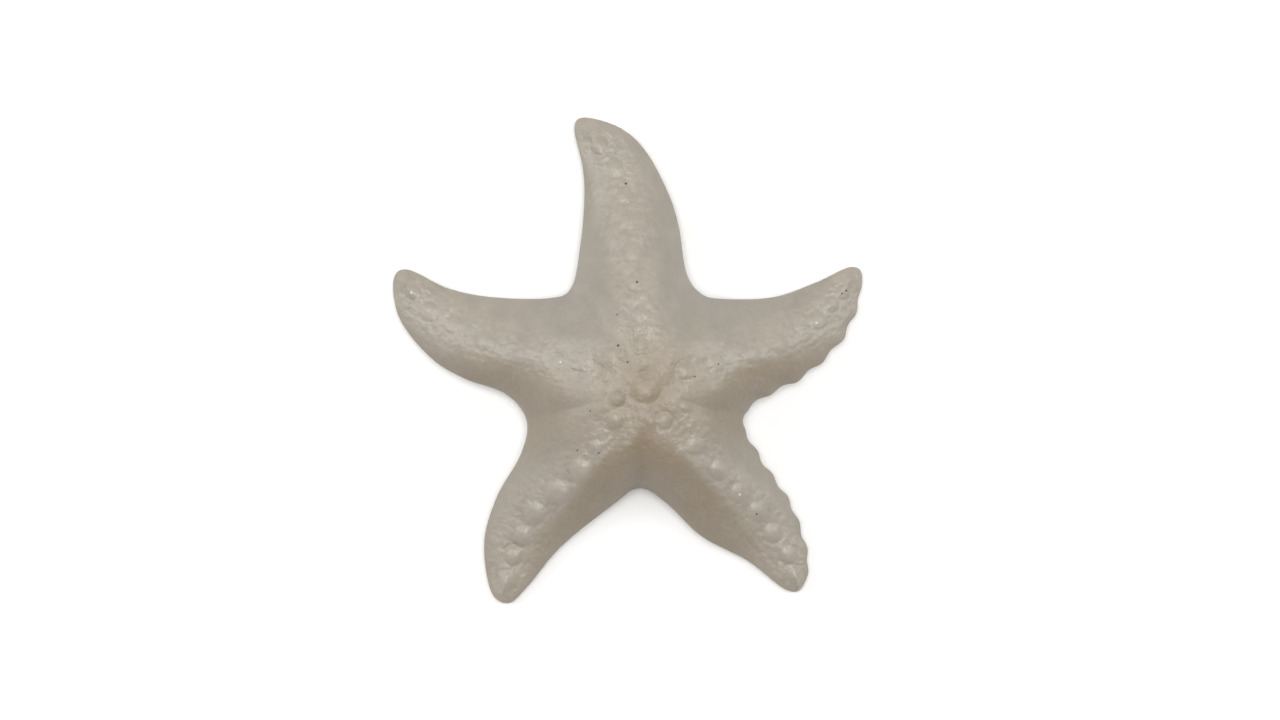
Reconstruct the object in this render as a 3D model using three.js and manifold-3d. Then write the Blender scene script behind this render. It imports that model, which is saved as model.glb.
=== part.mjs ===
// A starfish with five unequal arms. It grew as one piece, so it is one closed solid.
//
// Millimetres, +Z up. It lies on its flat underside at Z = 0, with the origin at the bottom centre of
// its bounding box, and +Y runs towards the longest arm.
//
// The body is one surface of two parameters. `round` runs once round the body, anticlockwise, flank by
// flank. `through` runs along a cross-section: from the crest of the arm down the flank to the rim,
// which is the widest line, in under it, over the flat underside, and up into the furrow below the crest.
import * as THREE from 'three';
import { ParametricGeometry } from 'three/addons/geometries/ParametricGeometry.js';
import { mergeVertices } from 'three/addons/utils/BufferGeometryUtils.js';
import Module from 'manifold-3d';

// ---- driving dimensions ----------------------------------------------------------------------
const discHeight = 30;
const tipHeight = 6; // far end of every crest
const crestFall = 1.1; // above 1, the crest stays high for longer before it falls towards the tip
const rimAtNotch = 7; // height of the widest line between two arms
const rimAtTip = 2.5; // and at the end of an arm

// The section is a gable with a rounded ridge, mixed with a share of a dome that rounds its rim.
const ridgeRound = 0.15;
const discFullness = 3; // higher keeps the flank fuller before it falls to the rim
const armFullness = 1.25;
const fullnessReach = 0.45; // share of the crest over which the disc's ridge becomes the arm's
const domeShare = 0.15;

const lobeFade = 6; // how soon the rim's lobes fade up the flank: higher is sooner
const undercut = 0.75; // how far the flat underside stands in from the rim, per unit of rim height
const furrowReach = 0.2; // half-width of the furrow, as a share of the way from crest line to rim
const mouthDepth = 5;
const mouthReach = 0.12; // share of the crest over which the mouth becomes the furrow
const furrowDepth = 2.2;
const furrowDepthAtTip = 0.8;

const discCentre = [5.6, -8.2];
const boss = { radius: 4.5, height: 0.9 };

// Each arm, anticlockwise from the longest. `out` leads from the notch before the arm up its first
// flank, `tip` is the two shoulders of its blunt end, and `back` leads down to the next notch. `crest`
// is the line of its highest points, from the disc outwards. `knobs` stand in a row near it, each
// with its place and its radius, and `knobRise` is their height as a share of the radius. A scalloped
// flank has lobes of a `pitch` and a `depth`, with the first lobe at `start` from its notch.
const arms = [
  {
    out: [[22.4, 20.6], [18.0, 27.0], [15.5, 42.0], [11.9, 52.8], [5.0, 65.2], [-3.0, 72.1]],
    tip: [[-13.6, 75.1], [-16.5, 71.5]],
    back: [[-14.0, 60.0], [-13.4, 50.0], [-14.6, 35.5]],
    crest: [[3.2, 14.0], [-0.5, 42.0], [-5.0, 58.5], [-11.8, 69.8]],
    knobs: [
      [4.0, 4.8, 2.4], [4.0, 13.9, 2.5], [2.6, 23.8, 2.8], [1.6, 33.1, 2.9],
      [0.4, 42.5, 3.0], [-0.8, 50.5, 2.6], [-4.0, 59.2, 2.9], [-8.7, 66.0, 2.8],
    ],
    knobRise: 0.16,
  },
  {
    out: [[-17.3, 22.5], [-24.2, 19.1], [-42.1, 19.5], [-55.7, 22.3]],
    tip: [[-68.2, 28.1], [-72.5, 24.5]],
    back: [[-70.3, 12.6], [-61.0, 1.0], [-50.6, -5.5], [-37.5, -10.4]],
    crest: [[-16.0, -2.0], [-40.0, 3.8], [-60.5, 14.6], [-68.2, 23.0]],
    knobs: [
      [-20.0, -0.5, 2.3], [-32.6, 1.4, 2.8], [-44.0, 6.0, 3.0], [-53.5, 10.9, 2.8],
      [-61.3, 14.9, 2.9], [-66.3, 21.1, 2.4],
    ],
    knobRise: 0.16,
  },
  {
    out: [[-31.1, -18.6], [-33.0, -29.0], [-40.3, -42.0], [-44.3, -56.0]],
    tip: [[-42.4, -71.2], [-37.0, -75.1]],
    back: [[-31.0, -69.9], [-20.5, -57.4], [-4.5, -44.4]],
    crest: [[-7.5, -23.8], [-20.5, -40.3], [-32.5, -54.0], [-37.8, -69.4]],
    knobs: [
      [-2.9, -11.4, 2.5], [-3.9, -18.0, 2.9], [-9.7, -26.0, 2.3], [-14.0, -33.5, 3.9],
      [-21.2, -40.2, 4.1], [-28.6, -46.6, 3.8], [-32.4, -54.1, 3.3], [-35.1, -60.0, 3.1],
      [-37.4, -68.0, 3.2],
    ],
    knobRise: 0.3,
  },
  {
    out: [[3.5, -39.3], [11.5, -43.6], [22.8, -54.3], [37.0, -61.9]],
    tip: [[48.6, -70.8], [53.9, -70.2]],
    back: [[55.6, -61.0], [50.4, -44.8], [40.3, -29.3]],
    crest: [[19.0, -25.0], [36.8, -43.6], [47.6, -57.6], [52.2, -67.0]],
    knobs: [
      [11.0, -18.0, 2.6], [20.2, -25.6, 2.9], [27.7, -33.1, 3.0], [33.6, -40.4, 3.1],
      [39.6, -46.2, 3.2], [44.2, -53.0, 3.1], [49.3, -59.9, 2.9], [51.7, -66.2, 2.8],
    ],
    knobRise: 0.27,
    backScallop: { start: 2, pitch: 8.5, depth: 0.4 },
  },
  {
    out: [[35.4, -18.5], [41.0, -11.8], [54.9, -4.3], [67.0, 8.0]],
    tip: [[72.4, 24.0], [69.3, 28.9]],
    back: [[57.8, 23.9], [44.5, 19.4], [29.0, 18.9]],
    crest: [[22.0, -2.2], [41.0, 3.0], [57.0, 12.0], [67.4, 23.4]],
    knobs: [
      [17.3, -3.0, 2.9], [26.6, -1.0, 2.7], [37.7, 1.6, 2.8], [46.0, 4.9, 2.9],
      [58.3, 12.2, 2.9], [62.4, 17.2, 2.5], [66.4, 21.0, 2.3],
    ],
    knobRise: 0.2,
    outScallop: { start: 12, pitch: 9.5, depth: 0.5 },
  },
];

// How finely the surface is divided.
const columnsPerFlank = 17;
const topRows = 8;
const turnRows = 3;
const flatRows = 2;
const furrowRows = 3;
const rows = topRows + turnRows + flatRows + furrowRows;
const flanks = 2 * arms.length;

// ---- the outline and the crest lines -----------------------------------------------------------
const inPlane = ([x, y]) => new THREE.Vector3(x, y, 0);
const smoothCurve = (points, closed) => {
  return new THREE.CatmullRomCurve3(points.map(inPlane), closed, 'catmullrom', 0.5);
};
const mix = THREE.MathUtils.lerp;
const ease = (from, to, x) => THREE.MathUtils.smoothstep(x, from, to);

const outlinePoints = arms.flatMap((arm) => [...arm.out, ...arm.tip, ...arm.back]);
const outline = smoothCurve(outlinePoints, true);
const stepsPerPoint = 40;
outline.arcLengthDivisions = outlinePoints.length * stepsPerPoint;
const outlineLength = outline.getLength();

// Distance round the outline to a point of the list, or to a place part of the way to the next one.
const distanceTo = (index) => outline.getLengths()[Math.round(index * stepsPerPoint)];

let first = 0;
for (const arm of arms) {
  arm.notch = distanceTo(first);
  arm.end = distanceTo(first + arm.out.length + 0.5); // half-way between the two shoulders
  first += arm.out.length + arm.tip.length + arm.back.length;
  arm.nextNotch = distanceTo(first);
  arm.crestLine = smoothCurve([discCentre, ...arm.crest], false);
}

// Columns crowd together at the notches and the tips, where the outline bends most.
const crowding = 0.5;
const crowded = (t) => t - (crowding * Math.sin(2 * Math.PI * t)) / (2 * Math.PI);

// How far along its crest line a column starts, 0 to 1. The slow start lets the columns at a notch fan
// out from the disc's centre, which rounds the valley between two arms. The crest ends short of the
// rim, and the last columns fan out from its end in the same way.
const valleyWidth = 0.14;
const tipFan = 1.6;
function alongCrest(share) {
  const started = (share * share * (1 + valleyWidth)) / (share + valleyWidth);
  return 1 - (1 - started) ** tipFan;
}

// Where a column stands: its arm, which of the arm's flanks, and how far from notch (0) to tip (1).
function column(round) {
  const at = THREE.MathUtils.euclideanModulo(round, 1) * flanks;
  const flank = Math.min(Math.floor(at), flanks - 1);
  const outward = flank % 2 === 0;
  const share = outward ? at - flank : 1 - (at - flank);
  return { arm: arms[Math.floor(flank / 2)], outward, share, along: alongCrest(share) };
}

// A lobed edge: a wave along the flank that fades out at the notch and before the tip.
function lobe(wave, distance, share) {
  if (!wave) return 0;
  const fade = ease(0, 0.15, share) * (1 - ease(0.7, 0.9, share));
  return wave.depth * fade * Math.cos((2 * Math.PI * (distance - wave.start)) / wave.pitch);
}

// The plain rim, and the sideways step of its lobes.
function rimOf({ arm, outward, share }) {
  const notch = outward ? arm.notch : arm.nextNotch;
  const distance = (arm.end - notch) * crowded(share);
  const at = THREE.MathUtils.euclideanModulo((notch + distance) / outlineLength, 1);
  const tangent = outline.getTangentAt(at);
  const wave = outward ? arm.outScallop : arm.backScallop;
  const swing = lobe(wave, Math.abs(distance), share);
  return [outline.getPointAt(at), new THREE.Vector3(tangent.y, -tangent.x, 0).multiplyScalar(swing)];
}

// ---- the body ----------------------------------------------------------------------------------
// A crest is level at the disc's centre and again at its tip.
const crestHeight = (along) => mix(tipHeight, discHeight, (1 + Math.cos(Math.PI * along ** crestFall)) / 2);

// The crest's rise for each step of `along`, which is a fall everywhere between its two ends.
function crestSlope(along) {
  const turn = Math.PI * along ** crestFall;
  return ((tipHeight - discHeight) / 2) * Math.sin(turn) * Math.PI * crestFall * along ** (crestFall - 1);
}

// `lean` is the slope at which a column leaves its crest. It is the crest's own slope in that
// direction, so the two flanks of an arm meet without a crease.
function upperHeight(reach, along, rimHeight, lean) {
  const fullness = mix(discFullness, armFullness, ease(0, fullnessReach, along));
  const rounded = (Math.hypot(reach, ridgeRound) - ridgeRound) / (Math.hypot(1, ridgeRound) - ridgeRound);
  const gable = 1 - rounded ** fullness;
  const dome = Math.sqrt(Math.max(1 - reach * reach, 0));
  const height = mix(rimHeight, crestHeight(along), mix(gable, dome, domeShare));
  return height + lean * reach * (1 - reach) ** 2;
}

function furrowHeight(reach, along) {
  const channel = mix(furrowDepth, furrowDepthAtTip, along);
  const depth = mix(mouthDepth, channel, ease(0, mouthReach, along));
  return depth * Math.cos(((reach / furrowReach) * Math.PI) / 2);
}

// The section's reach from crest line (0) to rim (1), and its height, `row` rows down from the crest.
function section(row, width, along, rimHeight, lean) {
  if (row <= topRows) {
    const reach = Math.sin(((row / topRows) * Math.PI) / 2);
    return [reach, upperHeight(reach, along, rimHeight, lean)];
  }
  const foot = 1 - (undercut * rimHeight) / width;
  const turned = row - topRows;
  if (turned < turnRows) {
    const angle = ((turned / turnRows) * Math.PI) / 2;
    return [mix(1, foot, 1 - Math.cos(angle)), rimHeight * (1 - Math.sin(angle))];
  }
  const crossed = turned - turnRows;
  if (crossed <= flatRows) {
    return [mix(foot, furrowReach, crossed / flatRows), 0];
  }
  const reach = furrowReach * (1 - (crossed - flatRows) / furrowRows);
  return [reach, furrowHeight(reach, along)];
}

function bodyPoint(through, round, target) {
  const here = column(round);
  const crest = here.arm.crestLine.getPointAt(here.along);
  const [rim, swing] = rimOf(here);
  const rimHeight = mix(rimAtNotch, rimAtTip, ease(0, 1, here.share));
  const row = Math.round(through * rows);
  const slope = crestSlope(here.along) / here.arm.crestLine.getLength();
  const lean = slope * rim.clone().sub(crest).dot(here.arm.crestLine.getTangentAt(here.along));
  const [reach, height] = section(row, rim.distanceTo(crest), here.along, rimHeight, lean);
  target.copy(crest).lerp(rim, reach).addScaledVector(swing, reach ** lobeFade).setZ(height);
}

// ---- the knobs and the boss ---------------------------------------------------------------------
const skin = new THREE.MeshStandardMaterial({ color: '#b1a99d', roughness: 0.5, metalness: 0 });
const bodyGeometry = new ParametricGeometry(bodyPoint, rows, flanks * columnsPerFlank);
const bodyMesh = new THREE.Mesh(bodyGeometry, skin);
const up = new THREE.Vector3(0, 0, 1);
const down = new THREE.Vector3(0, 0, -1);
const wellAbove = 2 * discHeight;

// A flattened ball half sunk in the body and lying along its skin, under a plumb line at its place.
function swelling([x, y, radius], height) {
  const plumb = new THREE.Raycaster(new THREE.Vector3(x, y, wellAbove), down);
  const { point, face } = plumb.intersectObject(bodyMesh)[0];
  const centre = point.addScaledVector(face.normal, -height);
  const ball = new THREE.SphereGeometry(1, 8, 6);
  ball.rotateX(Math.PI / 2);
  ball.scale(radius, radius, 2 * height);
  ball.applyQuaternion(new THREE.Quaternion().setFromUnitVectors(up, face.normal));
  ball.translate(...centre);
  return ball;
}

const centreBoss = swelling([...discCentre, boss.radius], boss.height);
const knobsOf = (arm) => arm.knobs.map((knob) => swelling(knob, arm.knobRise * knob[2]));

// ---- one solid ---------------------------------------------------------------------------------
const wasm = await Module();
wasm.setup();

function solidOf(geometry) {
  geometry.deleteAttribute('normal');
  geometry.deleteAttribute('uv');
  const closed = mergeVertices(geometry, 1e-3);
  const vertProperties = closed.attributes.position.array;
  const triVerts = new Uint32Array(closed.index.array);
  return new wasm.Manifold(new wasm.Mesh({ numProp: 3, vertProperties, triVerts }));
}

function geometryOf(solid) {
  const { vertProperties, triVerts } = solid.getMesh();
  const geometry = new THREE.BufferGeometry();
  geometry.setAttribute('position', new THREE.BufferAttribute(vertProperties, 3));
  geometry.setIndex(new THREE.BufferAttribute(triVerts, 1));
  return geometry;
}

const body = solidOf(bodyGeometry);
const whole = [centreBoss, ...arms.flatMap(knobsOf)].reduce((solid, ball) => solid.add(solidOf(ball)), body);

const geometry = geometryOf(whole);
geometry.computeBoundingBox();
const middle = geometry.boundingBox.getCenter(new THREE.Vector3());
geometry.translate(-middle.x, -middle.y, 0);
geometry.computeVertexNormals();

const starfish = new THREE.Mesh(geometry, skin);
starfish.name = 'starfish';

const group = new THREE.Group();
group.add(starfish);
export default group;
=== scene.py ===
import bpy
import numpy as np
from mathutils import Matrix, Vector


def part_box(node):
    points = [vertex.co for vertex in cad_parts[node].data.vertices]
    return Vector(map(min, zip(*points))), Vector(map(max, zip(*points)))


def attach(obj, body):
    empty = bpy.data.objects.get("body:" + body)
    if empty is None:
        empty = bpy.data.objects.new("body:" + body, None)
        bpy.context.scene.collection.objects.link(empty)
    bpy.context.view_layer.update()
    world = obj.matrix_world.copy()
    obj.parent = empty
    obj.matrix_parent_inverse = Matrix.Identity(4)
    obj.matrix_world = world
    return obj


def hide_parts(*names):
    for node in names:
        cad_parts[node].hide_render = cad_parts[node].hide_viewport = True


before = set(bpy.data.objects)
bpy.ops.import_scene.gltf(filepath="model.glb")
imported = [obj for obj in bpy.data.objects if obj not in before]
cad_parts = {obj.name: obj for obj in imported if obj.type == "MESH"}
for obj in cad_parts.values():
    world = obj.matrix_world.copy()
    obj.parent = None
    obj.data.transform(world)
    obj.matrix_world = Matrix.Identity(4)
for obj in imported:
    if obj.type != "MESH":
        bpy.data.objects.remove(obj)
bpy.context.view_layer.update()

# ---- The body: disc and five arms ------------------------------------------------------------
# A starfish grows as one piece, with a hard skin of small chalky plates over its whole body. It
# dried flat: each arm is a ridge that falls to a thin rim, and the arms meet in valleys at the disc.

MM = 0.001

# Millimetres from the middle of the outline. `out` leads from the notch before an arm up its first
# flank, `tip` is its two shoulders, and `back` leads down to the next notch. `crest` is the line of
# its highest points, from the disc outwards. Each of the `knobs` is a place and a radius, and stands
# up by `knob_rise` of that radius. A scalloped flank has lobes of a pitch and a depth, and the first
# of them is at the `start` distance from its notch.
disc_centre = (5.6, -8.2)
arms = [
    dict(
        out=[(22.4, 20.6), (18.0, 27.0), (15.5, 42.0), (11.9, 52.8), (5.0, 65.2), (-3.0, 72.1)],
        tip=[(-13.6, 75.1), (-16.5, 71.5)],
        back=[(-14.0, 60.0), (-13.4, 50.0), (-14.6, 35.5)],
        crest=[(3.2, 14.0), (-0.5, 42.0), (-5.0, 58.5), (-11.8, 69.8)],
        knobs=[
            (4.0, 4.8, 2.4), (4.0, 13.9, 2.5), (2.6, 23.8, 2.8), (1.6, 33.1, 2.9),
            (0.4, 42.5, 3.0), (-0.8, 50.5, 2.6), (-4.0, 59.2, 2.9), (-8.7, 66.0, 2.8),
        ],
        knob_rise=0.19,
    ),
    dict(
        out=[(-17.3, 22.5), (-24.2, 19.1), (-42.1, 19.5), (-55.7, 22.3)],
        tip=[(-68.2, 28.1), (-72.5, 24.5)],
        back=[(-70.3, 12.6), (-61.0, 1.0), (-50.6, -5.5), (-37.5, -10.4)],
        crest=[(-16.0, -2.0), (-40.0, 3.8), (-60.5, 14.6), (-68.2, 23.0)],
        knobs=[
            (-20.0, -0.5, 2.3), (-32.6, 1.4, 2.8), (-44.0, 6.0, 3.0),
            (-53.5, 10.9, 2.8), (-61.3, 14.9, 2.9), (-66.3, 21.1, 2.4),
        ],
        knob_rise=0.16,
    ),
    dict(
        out=[(-31.1, -18.6), (-33.0, -29.0), (-40.3, -42.0), (-44.3, -56.0)],
        tip=[(-42.4, -71.2), (-37.0, -75.1)],
        back=[(-31.0, -69.9), (-20.5, -57.4), (-4.5, -44.4)],
        crest=[(-7.5, -23.8), (-20.5, -40.3), (-32.5, -54.0), (-37.8, -69.4)],
        knobs=[
            (-2.9, -11.4, 2.5), (-3.9, -18.0, 2.9), (-9.7, -26.0, 2.3),
            (-14.0, -33.5, 3.9), (-21.2, -40.2, 4.1), (-28.6, -46.6, 3.8),
            (-32.4, -54.1, 3.3), (-35.1, -60.0, 3.1), (-37.4, -68.0, 3.2),
        ],
        knob_rise=0.27,
    ),
    dict(
        out=[(3.5, -39.3), (11.5, -43.6), (22.8, -54.3), (37.0, -61.9)],
        tip=[(48.6, -70.8), (53.9, -70.2)],
        back=[(55.6, -61.0), (50.4, -44.8), (40.3, -29.3)],
        crest=[(19.0, -25.0), (36.8, -43.6), (47.6, -57.6), (52.2, -67.0)],
        knobs=[
            (11.0, -18.0, 2.6), (20.2, -25.6, 2.9), (27.7, -33.1, 3.0), (33.6, -40.4, 3.1),
            (39.6, -46.2, 3.2), (44.2, -53.0, 3.1), (49.3, -59.9, 2.9), (51.7, -66.2, 2.8),
        ],
        knob_rise=0.25,
        back_scallop=dict(start=2, pitch=8.5, depth=0.4),
    ),
    dict(
        out=[(35.4, -18.5), (41.0, -11.8), (54.9, -4.3), (67.0, 8.0)],
        tip=[(72.4, 24.0), (69.3, 28.9)],
        back=[(57.8, 23.9), (44.5, 19.4), (29.0, 18.9)],
        crest=[(22.0, -2.2), (41.0, 3.0), (57.0, 12.0), (67.4, 23.4)],
        knobs=[
            (17.3, -3.0, 2.9), (26.6, -1.0, 2.7), (37.7, 1.6, 2.8), (46.0, 4.9, 2.9),
            (58.3, 12.2, 2.9), (62.4, 17.2, 2.5), (66.4, 21.0, 2.3),
        ],
        knob_rise=0.18,
        out_scallop=dict(start=12, pitch=9.5, depth=0.5),
    ),
]

disc_height, tip_height = 30.0, 6.0
crest_fall = 1.1  # above 1, the crest stays high for longer before it falls towards the tip
rim_at_notch, rim_at_tip = 7.0, 2.5  # height of the widest line
ridge_round = 0.15  # share of the flank over which the gable's ridge is rounded
disc_fullness, arm_fullness = 3.0, 1.25  # higher keeps the flank fuller before it falls to the rim
fullness_reach = 0.45  # share of the crest over which the disc's ridge becomes the arm's
dome_share = 0.15
lobe_fade = 6  # how soon the rim's lobes fade up the flank: higher is sooner
lobes_begin, lobes_end = (0, 0.15), (0.7, 0.9)  # shares of the flank over which they grow and die
undercut = 0.75  # how far the flat underside stands in from the rim, per unit of rim height
furrow_reach = 0.2  # half-width of the furrow, as a share of the way from crest line to rim
mouth_depth, mouth_reach = 5.0, 0.12
furrow_depth, furrow_depth_at_tip = 2.2, 0.8

valley_width = 0.14  # share of a flank over which its columns still start near the disc's centre
tip_fan = 1.6  # above 1, the columns' crest points stand closer together towards the tip
rim_crowding = 0.5  # and their rim points at both ends of a flank
row_crowding = 0.35  # rows stand closer together at the crest and the rim than between them
steps_per_point = 40
columns_per_flank = 160
top_rows, turn_rows, flat_rows, furrow_rows = 47, 4, 2, 5
probe = 0.1  # distance to either side at which a curve's direction is read


def mix(a, b, t):
    """a at t = 0, b at t = 1, in a straight line between."""
    return a + (b - a) * t


def ease(low, high, x):
    """0 below low, 1 above high, and 3 t^2 - 2 t^3 between."""
    t = np.clip((x - low) / (high - low), 0, 1)
    return t * t * (3 - 2 * t)


def smooth_curve(points, closed):
    """Points along a uniform Catmull-Rom curve, and the distance along it to each.

    Each span is the cubic through its two ends whose slope at a point is half the step from the
    point before to the point after. An open curve's missing neighbours mirror its end spans.
    """
    p = np.array(points, float)
    if closed:
        before, after = p[-1:], p[:2]
    else:
        before, after = 2 * p[:1] - p[1:2], 2 * p[-1:] - p[-2:-1]
    p = np.vstack([before, p, after])
    a, b, c, d = (p[k : len(p) - 3 + k, None, :] for k in range(4))
    t = np.linspace(0, 1, steps_per_point, endpoint=False)[None, :, None]
    slope_b, slope_c = (c - a) / 2, (d - b) / 2
    span = (2 * t**3 - 3 * t**2 + 1) * b + (t**3 - 2 * t**2 + t) * slope_b
    span = span + (3 * t**2 - 2 * t**3) * c + (t**3 - t**2) * slope_c
    line = np.vstack([span.reshape(-1, 2), p[-2:-1]])
    step = np.linalg.norm(np.diff(line, axis=0), axis=1)
    return line, np.concatenate([[0], np.cumsum(step)])


def along_curve(curve, distance):
    """The points of a curve at given distances along it."""
    line, travelled = curve
    x = np.interp(distance, travelled, line[:, 0])
    y = np.interp(distance, travelled, line[:, 1])
    return np.stack([x, y], axis=-1)


outline_points = [p for arm in arms for p in arm["out"] + arm["tip"] + arm["back"]]
outline = smooth_curve(outline_points, closed=True)
outline_length = outline[1][-1]

first = 0
for arm in arms:
    shoulder = first + len(arm["out"]) + 0.5
    last = first + len(arm["out"] + arm["tip"] + arm["back"])
    places = np.array([first, shoulder, last]) * steps_per_point
    arm["notch"], arm["end"], arm["next_notch"] = outline[1][places.round().astype(int)]
    arm["line"] = smooth_curve([disc_centre] + arm["crest"], closed=False)
    arm["length"] = arm["line"][1][-1]
    first = last


def body_columns():
    """The columns round the body: where each starts and ends, and its place on its flank and arm.

    Columns go flank by flank, anticlockwise. Each joins a rim point to a crest point, and both run
    from the notch (share 0) to the tip (share 1) of their flank. The crest point starts slowly, so
    columns fan out from the disc's centre, and it ends short of the rim, where they fan out again.
    `heading` is the crest's direction there, `step` the swing of a scallop at the rim, and `along`
    the share of the crest's length that is passed.
    """
    flanks = 2 * len(arms)
    position = np.arange(flanks * columns_per_flank) / columns_per_flank
    flank = position.astype(int)
    outward = flank % 2 == 0
    share = np.where(outward, position - flank, 1 - (position - flank))
    crowded = share - rim_crowding * np.sin(2 * np.pi * share) / (2 * np.pi)
    started = share**2 * (1 + valley_width) / (share + valley_width)
    along = 1 - (1 - started) ** tip_fan
    rim, crest, heading, step = (np.zeros((len(share), 2)) for _ in range(4))
    length = np.zeros(len(share))
    for number, arm in enumerate(arms):
        for side, start in enumerate(("notch", "next_notch")):
            mine = flank == 2 * number + side
            distance = (arm["end"] - arm[start]) * crowded[mine]
            at = np.mod(arm[start] + distance, outline_length)
            ahead = along_curve(outline, np.mod(at + probe, outline_length))
            tangent = ahead - along_curve(outline, np.mod(at - probe, outline_length))
            tangent /= np.linalg.norm(tangent, axis=1, keepdims=True)
            wave = arm.get(("out_scallop", "back_scallop")[side])
            if wave:
                fade = ease(*lobes_begin, share[mine]) * (1 - ease(*lobes_end, share[mine]))
                turns = (np.abs(distance) - wave["start"]) / wave["pitch"]
                swing = wave["depth"] * fade * np.cos(2 * np.pi * turns)
                step[mine] = np.stack([tangent[:, 1], -tangent[:, 0]], axis=1) * swing[:, None]
            rim[mine] = along_curve(outline, at)
            crest[mine] = along_curve(arm["line"], along[mine] * arm["length"])
            place = np.clip(along[mine] * arm["length"], probe, arm["length"] - probe)
            beyond = along_curve(arm["line"], place + probe)
            heading[mine] = beyond - along_curve(arm["line"], place - probe)
            length[mine] = arm["length"]
    heading /= np.linalg.norm(heading, axis=1, keepdims=True)
    return rim, crest, heading, step, share, along, flank, length


def body_surface(rim, crest, heading, step, share, along, length):
    """Points of the plain body, rows by columns, and their reach from crest (0) to rim (1).

    The height above the rim's is a share of the crest's height above it: mostly a gable, 1 minus
    a power of the reach that a hyperbola rounds at the ridge, and a little of a dome,
    sqrt(1 - reach^2). Each column leaves its crest at the crest's own slope, so the two flanks of
    an arm meet without a crease. Below the rim the body turns in under by a quarter ellipse,
    crosses flat, and rises as a cosine into the furrow.
    """
    rim_height = mix(rim_at_notch, rim_at_tip, ease(0, 1, share))
    fall = (1 + np.cos(np.pi * along**crest_fall)) / 2
    crest_height = mix(tip_height, disc_height, fall)
    slope = (tip_height - disc_height) / 2 * np.sin(np.pi * along**crest_fall)
    slope = slope * np.pi * crest_fall * along ** (crest_fall - 1) / length
    lean = slope * np.sum((rim - crest) * heading, axis=1)
    fullness = mix(disc_fullness, arm_fullness, ease(0, fullness_reach, along))
    foot = 1 - undercut * rim_height / np.linalg.norm(rim - crest, axis=1)

    t = np.linspace(0, 1, top_rows + 1)[:, None]
    reach_top = t - row_crowding * np.sin(2 * np.pi * t) / (2 * np.pi) + 0 * foot
    rounded = np.hypot(reach_top, ridge_round) - ridge_round
    rounded = rounded / (np.hypot(1, ridge_round) - ridge_round)
    gable = 1 - rounded**fullness
    dome = np.sqrt(np.maximum(1 - reach_top**2, 0))
    z_top = mix(rim_height, crest_height, mix(gable, dome, dome_share))
    z_top = z_top + lean * reach_top * (1 - reach_top) ** 2

    angle = np.linspace(0, np.pi / 2, turn_rows + 1)[1:, None]
    reach_turn = mix(1, foot, 1 - np.cos(angle))
    z_turn = rim_height * (1 - np.sin(angle))

    crossed = np.linspace(0, 1, flat_rows + 1)[1:, None]
    reach_flat = mix(foot, furrow_reach, crossed)

    risen = np.linspace(1, 0, furrow_rows + 1)[1:, None] + 0 * foot
    channel = mix(furrow_depth, furrow_depth_at_tip, along)
    depth = mix(mouth_depth, channel, ease(0, mouth_reach, along))
    z_furrow = depth * np.cos(risen * np.pi / 2)

    reach = np.vstack([reach_top, reach_turn, reach_flat, furrow_reach * risen])
    height = np.vstack([z_top, z_turn, 0 * reach_flat, z_furrow])
    plan = crest + (rim - crest) * reach[..., None] + step * reach[..., None] ** lobe_fade
    return plan, np.maximum(height, 0), reach


rim, crest, heading, step, share, along, flank, length = body_columns()
plan, height, reach = body_surface(rim, crest, heading, step, share, along, length)

# ---- The relief: boss, knobs, plates and pores -------------------------------------------------
# The skin's plates carry blunt knobs in a row along each crest, round a larger boss at the centre,
# with small papules between them. The rims are smooth, and a few pores have low lips; their hollows
# are not cut, only painted dark later as painted shade.

# Heights and depths in millimetres. A knob's groove runs round it at `groove_at` of its radius, and
# `ring_width` is that groove's half-width, in radii too. A pore has a low lip at `lip_at` radii.
boss_radius, boss_height, boss_groove = 4.5, 0.45, 0.18
knob_groove, disc_knob_groove, disc_knob_rise = 0.15, 0.1, 0.2
groove_at, ring_width = 1.08, 0.17
lip_at, lip_width, lip_height = 1.8, 0.6, 0.1
papule_size, papule_height, papule_floor = 2.8, 0.07, -0.3
streak_size, streak_height, streak_length = 2.6, 0.04, 5
slump_size, slump_height = 8.0, 0.14
arm_apart = 150  # keeps one arm's streaks from repeating on the next

# Places and radii, as in each arm's own knobs.
disc_knobs = [(7.4, -18.3, 2.0), (17.6, -14.0, 1.8), (-1.5, 1.5, 1.9), (-6.5, -5.0, 1.8)]
pores = [
    (-2.7, 4.4, 0.55), (0.1, -0.5, 0.42), (-0.5, 54.1, 0.45), (2.9, 23.5, 0.45), (-3.0, 13.7, 0.3),
    (20.1, -4.8, 0.35), (27.2, -1.1, 0.35), (-11.0, -15.0, 0.3), (-15.0, -27.0, 0.3),
    (-8.5, -27.7, 0.3), (39.3, -46.8, 0.35), (67.3, 21.4, 0.42), (65.9, 20.5, 0.35),
]
# Small pale spots, painted as glints in place of highlights.
glint_spots = [(-66.5, 20.8, 0.5), (-20.0, -0.5, 0.4), (34.0, -40.6, 0.5), (57.8, 11.5, 0.4)]


def swelling(centre, radius, height, groove):
    """A blunt dome, height (1 - t^2.4)^1.5 with t = distance / radius, in a ring-shaped groove."""
    t = np.linalg.norm(plan - np.array(centre), axis=-1) / radius
    dome = height * np.maximum(1 - t**2.4, 0) ** 1.5
    return dome - groove * np.exp(-(((t - groove_at) / ring_width) ** 2))


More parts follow.
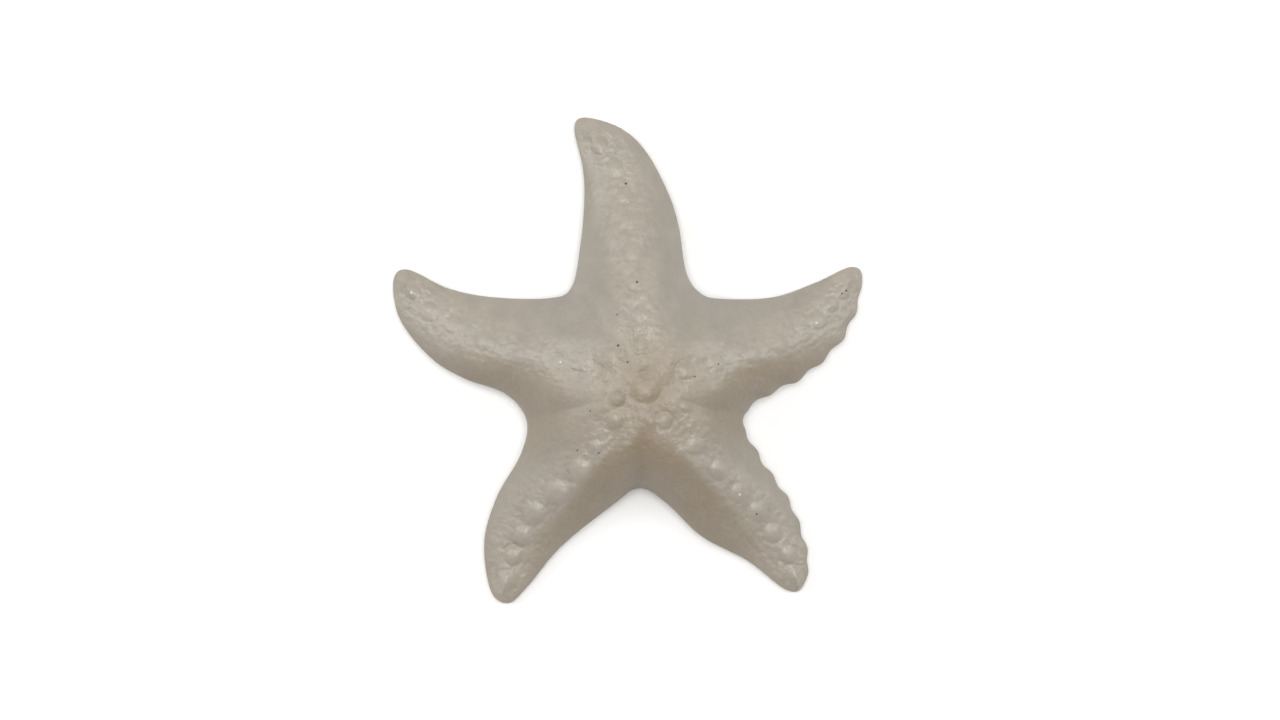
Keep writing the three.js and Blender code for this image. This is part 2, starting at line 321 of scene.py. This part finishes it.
def ripples(place, wavelength, count, seed):
    """An even random field of about unit height: the sum of `count` plane waves in all directions.

    Each wave is cos(k (x cos h + y sin h) + p), with a random heading h and phase p, and a length
    2 pi / k of 0.75 to 1.35 times the wavelength.
    """
    draw = np.random.default_rng(seed)
    direction = draw.uniform(0, 2 * np.pi, count)
    number = 2 * np.pi / (wavelength * draw.uniform(0.75, 1.35, count))
    phase = draw.uniform(0, 2 * np.pi, count)
    total = np.zeros(place.shape[:-1])
    for h, k, p in zip(direction, number, phase):
        total += np.cos(k * (np.cos(h) * place[..., 0] + np.sin(h) * place[..., 1]) + p)
    return total * np.sqrt(2 / count)


knobs = swelling(disc_centre, boss_radius, boss_height, boss_groove)
for x, y, radius in disc_knobs:
    knobs += swelling((x, y), radius, disc_knob_rise * radius, disc_knob_groove)
for arm in arms:
    for x, y, radius in arm["knobs"]:
        knobs += swelling((x, y), radius, arm["knob_rise"] * radius, knob_groove)
full_height = 0.4  # a knob of this height or more counts as standing clear of the skin
standing = np.clip(knobs / full_height, 0, 1)

# Where a point is: how far from the disc's centre and from its crest, whether in the band along the
# crest, and whether on a slope that looks towards -Y, away from the longest arm.
disc_distance = np.linalg.norm(plan - np.array(disc_centre), axis=-1)
away_from_disc = ease(7, 20, disc_distance)
width = np.linalg.norm(rim - crest, axis=1)
from_crest = reach * width
band = 1 - ease(5, 15, from_crest)
no_zero = 1e-9
fall = np.gradient(height, axis=0) * (rim - crest)[:, 1] / (np.gradient(reach, axis=0) + no_zero)
facing = ease(-0.05, 0.5, fall / width**2)

# The relief is strongest in that band and on those slopes, and fades at the disc, on the knobs
# and at the rim. Papules and slumps are even in all directions, and streaks run along the arms.
roughness = mix(0.3, 1.0, np.maximum(band, 0.8 * facing)) * mix(0.5, 1, away_from_disc)
roughness *= 1 - 0.6 * standing
roughness *= 1 - ease(0.8, 0.97, reach)
papules = np.maximum(ripples(plan, papule_size, 60, seed=3), papule_floor)
slumps = ripples(plan, slump_size, 40, seed=4)
down_the_arm = (along * length + arm_apart * (flank // 2)) / streak_length + 0 * reach
across_the_arm = from_crest * np.where(flank % 2 == 0, 1, -1)
streaks = ripples(np.stack([down_the_arm, across_the_arm], axis=-1), streak_size, 60, seed=6)
streaks *= ease(0.02, 0.2, share) * (1 - ease(0.8, 0.95, along))

relief = knobs + slump_height * slumps * (1 - reach)
relief += roughness * (papule_height * papules + streak_height * streaks * away_from_disc)
for x, y, radius in pores:
    t = np.linalg.norm(plan - np.array([x, y]), axis=-1) / radius
    relief += lip_height * np.exp(-(((t - lip_at) / lip_width) ** 2))
upper = np.arange(len(reach))[:, None] <= top_rows  # the rows from the crest to the rim
height += np.where(upper, relief, 0) * (1 - ease(0.93, 1.0, reach))

# The outline is fitted to the solid's own box, so that both have the same size.
low, high = (np.array(corner)[:2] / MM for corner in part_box("starfish"))
plan_low, plan_high = plan.min(axis=(0, 1)), plan.max(axis=(0, 1))
fitted = low + (plan - plan_low) * (high - low) / (plan_high - plan_low)
surface = np.dstack([fitted, height])


def closed_mesh(name, grid, seams):
    """A mesh from a grid of points, rows by columns, closed round its columns.

    The first and last rows are seams: `seams` says which column each column's end point joins.
    A quad whose corners meet there becomes a triangle, or is left out. The second result is the
    grid's own number for each point of the mesh.
    """
    rows, columns, _ = grid.shape
    number = np.arange(rows * columns).reshape(rows, columns)
    number[0] = number[0][seams]
    number[-1] = number[-1][seams]
    right = np.roll(number, -1, axis=1)
    quads = np.stack([number[:-1], number[1:], right[1:], right[:-1]], axis=-1).reshape(-1, 4)
    used, quads = np.unique(quads, return_inverse=True)
    quads = quads.reshape(-1, 4)
    following = np.roll(quads, -1, axis=1)
    keep = quads != following
    corners = keep.sum(axis=1)
    quads, keep, corners = quads[corners > 2], keep[corners > 2], corners[corners > 2]
    mesh = bpy.data.meshes.new(name)
    points = grid.reshape(-1, 3)[used] * MM
    mesh.vertices.add(len(points))
    mesh.vertices.foreach_set("co", points.ravel())
    mesh.loops.add(int(corners.sum()))
    mesh.loops.foreach_set("vertex_index", quads[keep])
    mesh.polygons.add(len(corners))
    mesh.polygons.foreach_set("loop_start", np.concatenate([[0], np.cumsum(corners)[:-1]]))
    mesh.polygons.foreach_set("use_smooth", np.ones(len(corners), bool))
    mesh.update(calc_edges=True)
    mesh.validate()
    return mesh, used


# Along a crest, a column's end is joined to its twin's on the other flank, and the tip's to the one
# before it. Every column from a notch ends at the disc's centre.
column = np.arange(surface.shape[1])
per_arm = 2 * columns_per_flank
within = column % per_arm
twin = np.minimum(np.minimum(within, per_arm - within), columns_per_flank - 1)
seams = np.where(within == 0, 0, column - within + twin)
skin_mesh, kept = closed_mesh("starfish_skin", surface, seams)


def paint(mesh, name, values):
    """Stores one number for each point of the mesh, for its material to read."""
    at_points = np.broadcast_to(values, reach.shape).reshape(-1)[kept]
    layer = mesh.attributes.new(name, "FLOAT", "POINT")
    layer.data.foreach_set("value", at_points.astype(np.float32))


# The crests and the knobs are painted paler. Painted shade, browner, lies in the valleys between
# the arms and on the slopes that look towards -Y, and round the boss the disc is painted darker and
# browner too.
# Paler along the crests and on the knobs, with random patches from the slumps.
crest_lightening = np.clip(band * mix(0.2, 0.9, away_from_disc) + 0.3 * standing + 0.2 * slumps, 0, 1)
valley = (1 - ease(0.0, 0.35, share)) * ease(6, 20, disc_distance) * (1 - ease(0.6, 1, reach))
shaded = facing * (1 - 0.8 * ease(0.35, 0.75, share)) * ease(2, 7, from_crest)
boss_tint_radius = 15
round_boss = np.exp(-((disc_distance / boss_tint_radius) ** 2))
# Painted shade on the -Y slopes and in the valleys, with the darker, browner disc round the boss.
shade_and_boss_tint = 0.7 * np.maximum(valley * facing, shaded) + 0.9 * round_boss
paint(skin_mesh, "crest_lightening", np.where(upper, crest_lightening, 0))
paint(skin_mesh, "shade_and_boss_tint", np.where(upper, np.clip(shade_and_boss_tint, 0, 1), 0.2))
paint(skin_mesh, "rough", np.where(upper, roughness, 0.3))

starfish = bpy.data.objects.new("starfish_skin", skin_mesh)
bpy.context.scene.collection.objects.link(starfish)
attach(starfish, "root")
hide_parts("starfish")

# ---- The skin's finish -------------------------------------------------------------------------
# The skin is pale greige with a satin sheen. It is painted lighter along the crests and knobs, and
# a browner painted shade darkens the valleys and the slopes towards -Y; round the boss it is painted
# darker and browner too. A few small pale spots are painted glints, and the pores are painted dark,
# as painted shade for hollows that the mesh doesn't have.

# Colours are linear.
flank_colour, crest_colour = (0.279, 0.256, 0.216, 1), (0.364, 0.328, 0.279, 1)
# The browner colour of the painted shade, also used for the darker disc round the boss.
shade_tint_colour = (0.246, 0.196, 0.136, 1)
# Pale spots painted as glints, and dark spots painted as shade in the pores' hollows.
glint_colour, pore_shade_colour = (0.8, 0.77, 0.7, 1), (0.04, 0.03, 0.02, 1)
satin = 0.47
grain_depth, grain_strength = 0.0004, 0.8
underside_top, upper_start = 0.0035, 0.005  # metres: spots fade in between these heights


class Shade:
    """A socket of a material's nodes. Arithmetic on it adds Math nodes; node() adds any other."""

    def __init__(self, tree, socket=None):
        self.tree, self.socket = tree, socket

    def node(self, kind, settings, inputs, output=0):
        """Adds a node with its settings, fills or links its inputs, and gives back one output."""
        made = self.tree.nodes.new(kind)
        for name, value in settings.items():
            setattr(made, name, value)
        for name, value in inputs.items():
            if isinstance(value, Shade):
                self.tree.links.new(value.socket, made.inputs[name])
            else:
                made.inputs[name].default_value = value
        return Shade(self.tree, made.outputs[output])

    def math(self, operation, first, second=0.0):
        return self.node("ShaderNodeMath", {"operation": operation}, {0: first, 1: second})

    def __add__(self, other):
        return self.math("ADD", self, other)

    def __sub__(self, other):
        return self.math("SUBTRACT", self, other)

    def __mul__(self, other):
        return self.math("MULTIPLY", self, other)

    __radd__ = __add__
    __rmul__ = __mul__

    def __rsub__(self, other):
        return self.math("SUBTRACT", other, self)

    def noise(self, scale, detail):
        """Soft noise, about 0 on average, on this position."""
        inputs = {"Vector": self, "Scale": scale, "Detail": detail, "Roughness": 0.55}
        return self.node("ShaderNodeTexNoise", {}, inputs) - 0.5

    def step(self, low, high):
        """0 at low and 1 at high, eased between."""
        inputs = {"Value": self, "From Min": low, "From Max": high}
        return self.node("ShaderNodeMapRange", {"interpolation_type": "SMOOTHSTEP"}, inputs)

    def blend(self, first, second):
        """From the first colour to the second as this goes from 0 to 1."""
        mixed = {"Factor": self, 6: first, 7: second}
        return self.node("ShaderNodeMix", {"data_type": "RGBA", "clamp_factor": True}, mixed, 2)


skin = bpy.data.materials.new("skin")
skin.use_nodes = True
tree = skin.node_tree
position = Shade(tree, tree.nodes.new("ShaderNodeTexCoord").outputs["Object"])
crest_lightening_here, shade_and_boss_tint_here, rough_here = (
    position.node("ShaderNodeAttribute", {"attribute_name": name}, {}, "Fac")
    for name in ("crest_lightening", "shade_and_boss_tint", "rough")
)

# Scales per metre: patches of about 12 mm, spots of about 2.4 mm and a grain of about 1.6 mm.
mottle = position.noise(85, 3)
fine = position.noise(420, 2)
granule = position.noise(620, 1)

# The tone is lighter where the crests and knobs are painted paler.
tone = 0.3 + 0.8 * mottle + (0.3 + 0.9 * rough_here) * fine + 0.45 * crest_lightening_here
colour = tone.blend(flank_colour, crest_colour)
# Painted shade: the valleys, the -Y slopes and the disc round the boss blend towards the browner
# colour.
shade_tint_amount = shade_and_boss_tint_here + 0.5 * mottle - 0.05
colour = shade_tint_amount.blend(colour, shade_tint_colour)

flat = position.node("ShaderNodeVectorMath", {"operation": "MULTIPLY"}, {0: position, 1: (1, 1, 0)})
level = position.node("ShaderNodeSeparateXYZ", {}, {0: position}, "Z")
above = level.step(underside_top, upper_start)


def spots(places):
    """1 inside each of the round places on the upper skin, and 0 outside them."""
    total = 0.0
    for x, y, radius in places:
        ends = {0: flat, 1: (x * MM, y * MM, 0)}
        away = flat.node("ShaderNodeVectorMath", {"operation": "DISTANCE"}, ends, "Value")
        total = 1 - away.step(0.5 * radius * MM, radius * MM) + total
    return above * total


# Painted glints: a few small pale spots stand in for highlights.
colour = (0.6 * spots(glint_spots)).blend(colour, glint_colour)
# The pores are painted dark, as painted shade for hollows that the mesh doesn't cut.
colour = spots(pores).blend(colour, pore_shade_colour)

shell = tree.nodes["Principled BSDF"]
tree.links.new(colour.socket, shell.inputs["Base Color"])
gloss = satin - 0.08 * crest_lightening_here + 0.2 * fine + 0.12 * mottle
tree.links.new(gloss.socket, shell.inputs["Roughness"])
grain = granule * (0.35 + rough_here)
bump = {"Height": grain, "Distance": grain_depth, "Strength": grain_strength}
bumped = grain.node("ShaderNodeBump", {}, bump)
tree.links.new(bumped.socket, shell.inputs["Normal"])
skin_mesh.materials.append(skin)

# ---- The floor and the light -------------------------------------------------------------------
# The starfish lies on a plain pale floor, under a wide soft lamp overhead and one from each side,
# all a little towards its longest arm, with a faint warm light from all round.

edge = 2  # metres from the middle to each side
corners = [(-edge, -edge, 0), (edge, -edge, 0), (edge, edge, 0), (-edge, edge, 0)]
floor_mesh = bpy.data.meshes.new("floor")
floor_mesh.from_pydata(corners, [], [(0, 1, 2, 3)])
floor = bpy.data.objects.new("floor", floor_mesh)
bpy.context.scene.collection.objects.link(floor)
pale = bpy.data.materials.new("pale_floor")
pale.use_nodes = True
matt = pale.node_tree.nodes["Principled BSDF"]
matt.inputs["Base Color"].default_value = (0.9, 0.9, 0.9, 1)
matt.inputs["Roughness"].default_value = 0.9
floor_mesh.materials.append(pale)


def soft_lamp(name, place, size, power, colour):
    """A square lamp of a given size, aimed at the origin."""
    lamp = bpy.data.lights.new(name, "AREA")
    lamp.size, lamp.energy, lamp.color = size, power, colour
    holder = bpy.data.objects.new(name, lamp)
    holder.location = place
    holder.rotation_euler = (-Vector(place)).to_track_quat("-Z", "Y").to_euler()
    bpy.context.scene.collection.objects.link(holder)


soft_lamp("overhead", (0.0, 0.15, 1.6), 1.0, 21.0, (0.98, 0.99, 1.0))
soft_lamp("from_left", (-1.2, 0.35, 0.9), 0.8, 9.0, (0.95, 0.98, 1.0))
soft_lamp("from_right", (1.2, 0.35, 0.9), 0.8, 7.8, (0.95, 0.98, 1.0))

# The surroundings light the starfish warmly and faintly, and look pale grey past the floor's edge.
world = bpy.data.worlds.new("studio")
world.use_nodes = True
sky = world.node_tree
around = sky.nodes["Background"]
around.inputs["Color"].default_value = (1.0, 0.85, 0.70, 1)
around.inputs["Strength"].default_value = 0.22
seen = sky.nodes.new("ShaderNodeBackground")
seen.inputs["Color"].default_value = (0.95, 0.95, 0.95, 1)
ray = sky.nodes.new("ShaderNodeLightPath")
either = sky.nodes.new("ShaderNodeMixShader")
sky.links.new(ray.outputs["Is Camera Ray"], either.inputs[0])
sky.links.new(around.outputs[0], either.inputs[1])
sky.links.new(seen.outputs[0], either.inputs[2])
sky.links.new(either.outputs[0], sky.nodes["World Output"].inputs["Surface"])
bpy.context.scene.world = world
bpy.context.scene.view_settings.view_transform = "Standard"

# ---- The camera --------------------------------------------------------------------------------
# It looks straight down, and sees `view_width` at the level of the rims.
view_centre = (0.0038, 0.0001)
view_width = 0.3948
rim_level = 0.004
camera_height = 0.7
sensor_width = 36  # millimetres
camera = bpy.data.cameras.new("camera")
camera.sensor_width = sensor_width
camera.lens = sensor_width * (camera_height - rim_level) / view_width
eye = bpy.data.objects.new("camera", camera)
eye.location = (*view_centre, camera_height)
bpy.context.scene.collection.objects.link(eye)
bpy.context.scene.camera = eye
